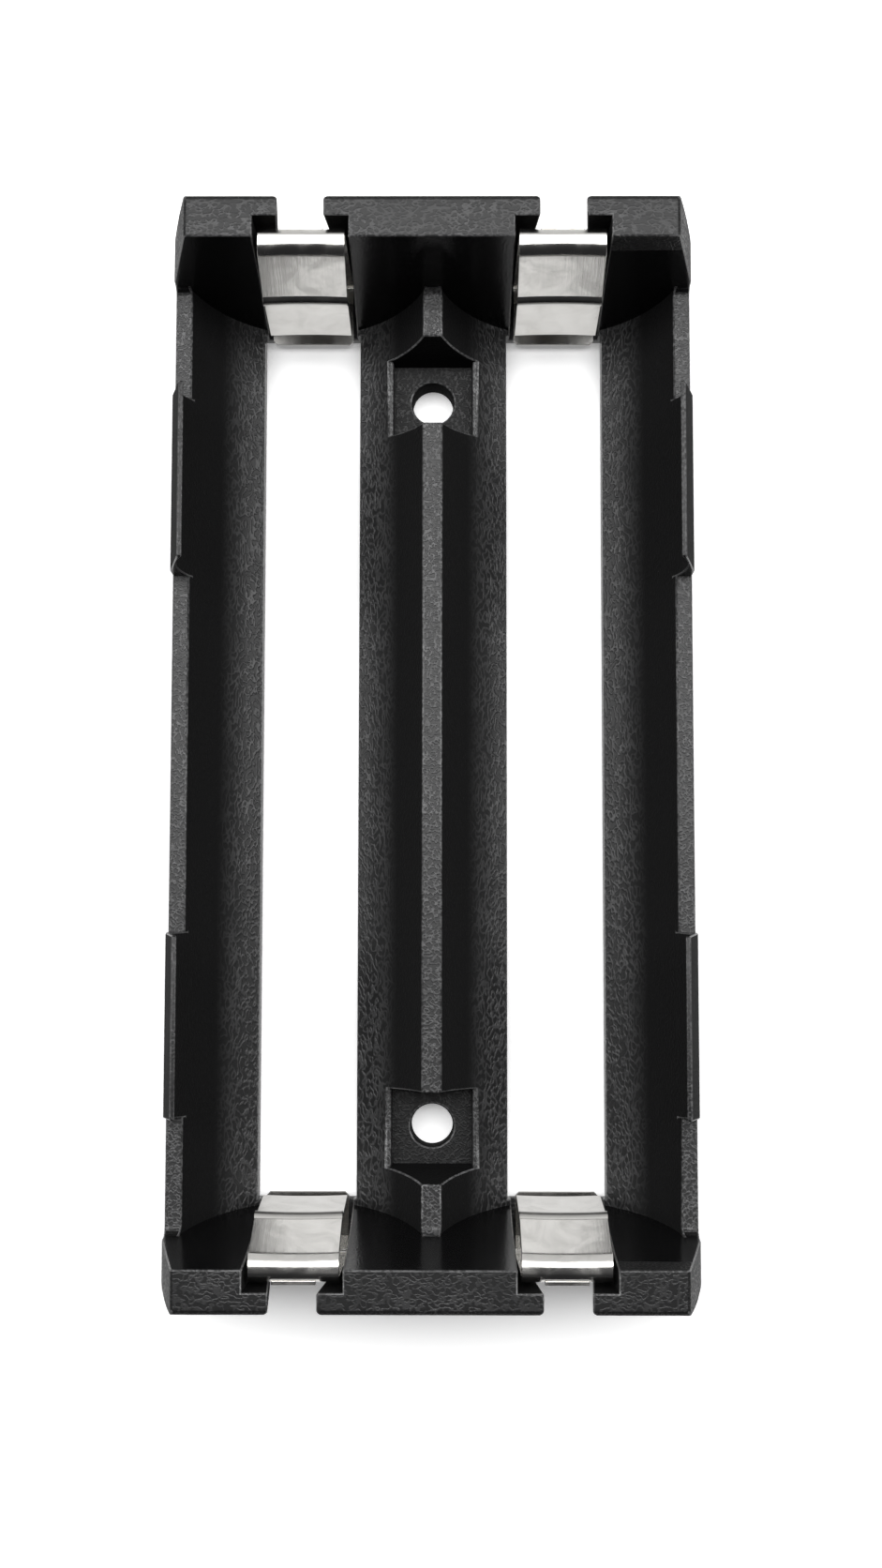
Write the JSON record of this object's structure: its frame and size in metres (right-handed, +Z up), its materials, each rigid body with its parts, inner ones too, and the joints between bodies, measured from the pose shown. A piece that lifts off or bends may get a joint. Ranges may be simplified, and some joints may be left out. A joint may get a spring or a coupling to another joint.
{
  "type": "cylindrical battery holder",
  "caption": "Open moulded tray with side-by-side round troughs for cylindrical cells, folded spring contacts in its end walls, side retaining tabs and screw pockets in the centre rib.",
  "frame": {"origin": "centre of the underside, midway between the two end faces", "axes": "+Y along the cells towards the rear end (top of the picture), +X to the right across the troughs, +Z up out of the tray"},
  "size_m": [0.0384, 0.078, 0.015],
  "materials": {
    "housing_plastic": "fine moulded grain",
    "contact_metal": "bright nickel plate"
  },
  "bodies": {
    "root": {"body": "housing_plastic", "contact_rear_left": "contact_metal", "contact_rear_right": "contact_metal", "contact_front_left": "contact_metal", "contact_front_right": "contact_metal"}
  },
  "joints": []
}
